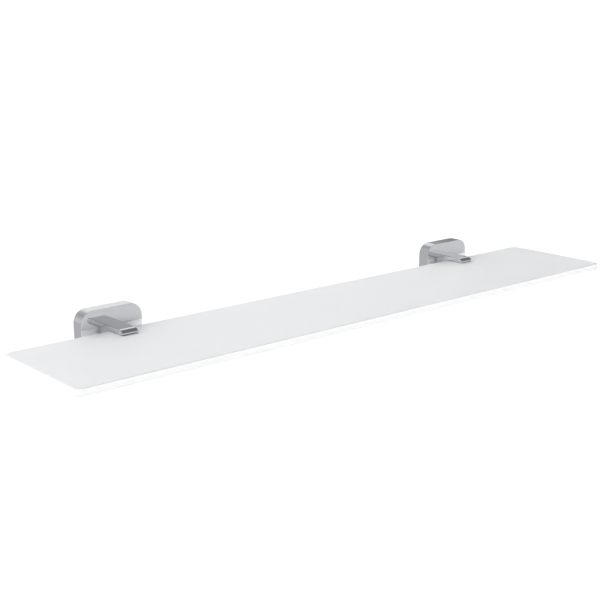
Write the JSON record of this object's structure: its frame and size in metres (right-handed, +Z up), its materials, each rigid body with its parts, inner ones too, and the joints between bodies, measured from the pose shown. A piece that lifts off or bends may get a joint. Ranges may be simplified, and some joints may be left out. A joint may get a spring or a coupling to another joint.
{
  "type": "glass wall shelf",
  "caption": "Frosted glass shelf panel gripped at its back edge by the forked arms of two chromed wall brackets.",
  "frame": {"origin": "on the wall plane, midway between the brackets, level with the middle of the glass's thickness", "axes": "+X along the wall to the viewer's right, +Y into the wall, +Z up, so the shelf reaches out along -Y"},
  "size_m": [0.6, 0.13, 0.04],
  "materials": {
    "frosted_glass": "acid-etched faces, fine-ground edges",
    "chrome": "polished",
    "zinc_plated_steel": "bright zinc plated",
    "steel": "plain stainless",
    "nylon": "natural",
    "clear_rubber": "clear, slightly milky"
  },
  "bodies": {
    "brackets": {"wall_plate_left": "zinc_plated_steel", "rosette_cover_left": "chrome", "cover_set_screw_left": "steel", "fork_arm_left": "chrome", "arm_screw_left": "steel", "arm_washer_left": "zinc_plated_steel", "locating_pin_left": "steel", "jaw_liner_left": "clear_rubber", "wall_plate_right": "zinc_plated_steel", "rosette_cover_right": "chrome", "cover_set_screw_right": "steel", "fork_arm_right": "chrome", "arm_screw_right": "steel", "arm_washer_right": "zinc_plated_steel", "locating_pin_right": "steel", "jaw_liner_right": "clear_rubber"},
    "glass": {"glass_shelf": "frosted_glass"},
    "clamp_pad_left": {"clamp_pad_left": "nylon"},
    "clamp_screw_left": {"clamp_screw_left": "steel"},
    "clamp_pad_right": {"clamp_pad_right": "nylon"},
    "clamp_screw_right": {"clamp_screw_right": "steel"}
  },
  "joints": [
    {"name": "glass_slide", "type": "slide", "parent": "brackets", "child": "glass", "axis": [0, -1, 0], "range_m": [0, 0.0195]},
    {"name": "clamp_pad_left_slide", "type": "slide", "parent": "brackets", "child": "clamp_pad_left", "axis": [0, 0, 1], "range_m": [-0.0016, 0]},
    {"name": "clamp_screw_left_turn", "type": "hinge", "parent": "clamp_pad_left", "child": "clamp_screw_left", "pos_m": [-0.2, -0.03, -0.0072], "axis": [0, 0, 1], "range_deg": [-720, 0]},
    {"name": "clamp_pad_right_slide", "type": "slide", "parent": "brackets", "child": "clamp_pad_right", "axis": [0, 0, 1], "range_m": [-0.0016, 0]},
    {"name": "clamp_screw_right_turn", "type": "hinge", "parent": "clamp_pad_right", "child": "clamp_screw_right", "pos_m": [0.2, -0.03, -0.0072], "axis": [0, 0, 1], "range_deg": [-720, 0]}
  ],
  "couplings": [
    {"joint": "clamp_screw_left_turn", "follows": "clamp_pad_left_slide", "rad_per_m": 7854},
    {"joint": "clamp_screw_right_turn", "follows": "clamp_pad_right_slide", "rad_per_m": 7854}
  ]
}
